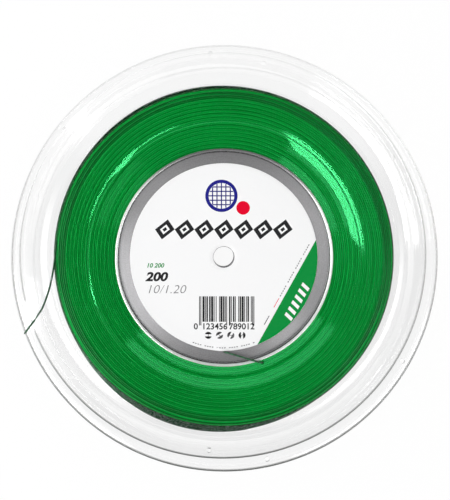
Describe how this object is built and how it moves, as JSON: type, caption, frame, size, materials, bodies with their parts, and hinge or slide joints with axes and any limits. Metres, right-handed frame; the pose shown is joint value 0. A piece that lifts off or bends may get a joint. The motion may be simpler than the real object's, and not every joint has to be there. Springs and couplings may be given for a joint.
{
  "type": "string reel",
  "caption": "Clear flanged reel of green racket string on a satin grey hub, with a round label in the hub recess and a spindle hole.",
  "frame": {"origin": "centre of the rear rim's plane, on the reel's axis, where the reel lies", "axes": "+Z along the axis, out of the labelled front; +Y towards the top of the label; +X to the right as the label is read"},
  "size_m": [0.264, 0.264, 0.0313],
  "materials": {
    "hub_plastic": "satin, silver grey, fine turned grain",
    "clear_plastic": "clear moulded polystyrene, polished",
    "label_paper": "coated paper, white with a green field and plain grey and black printing",
    "string": "glossy green coated multifilament"
  },
  "bodies": {
    "root": {"hub_drum": "hub_plastic", "hub_core": "hub_plastic", "front_flange": "clear_plastic", "rear_flange": "clear_plastic", "front_label": "label_paper", "string_winding": "string", "string_start": "string", "string_tail": "string"}
  },
  "joints": []
}
